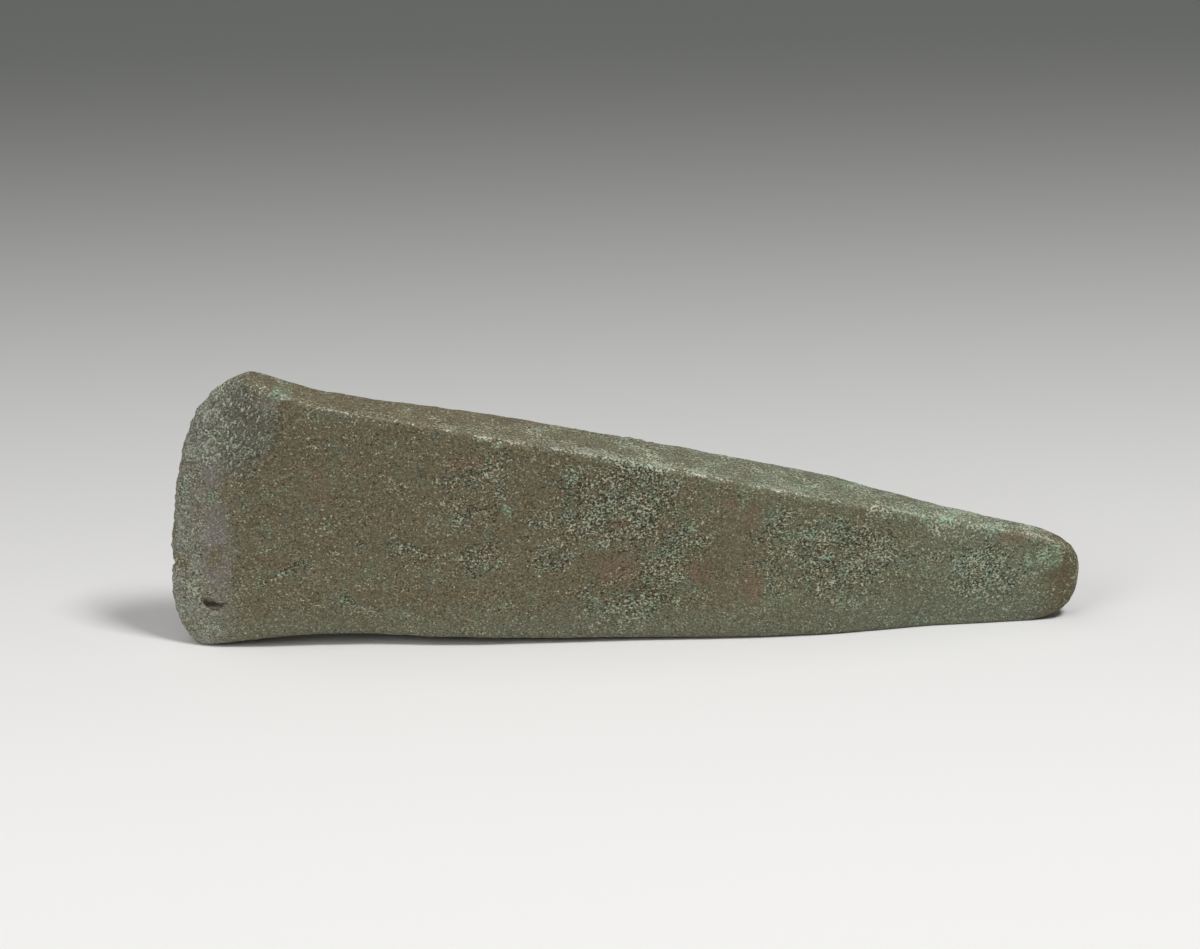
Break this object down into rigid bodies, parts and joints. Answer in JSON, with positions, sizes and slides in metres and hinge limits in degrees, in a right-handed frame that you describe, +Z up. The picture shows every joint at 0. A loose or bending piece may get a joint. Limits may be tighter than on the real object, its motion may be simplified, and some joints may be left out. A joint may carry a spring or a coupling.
{
  "type": "bronze axe head",
  "caption": "Cast bronze flat axe head: a long tapering wedge with a bowed, flared cutting edge and a narrow rounded butt, lying on its narrow side.",
  "frame": {"origin": "centre of the bounding box on the ground it lies on", "axes": "+X from the cutting edge to the butt, +Y through the thickness to the back face, +Z up"},
  "size_m": [0.1502, 0.0126, 0.047],
  "materials": {
    "patinated_bronze": "bronze under a matt brown and olive patina, pitted and grainy, with crusts of pale green corrosion and worn arrises"
  },
  "bodies": {
    "root": {"axe_head": "patinated_bronze"}
  },
  "joints": []
}
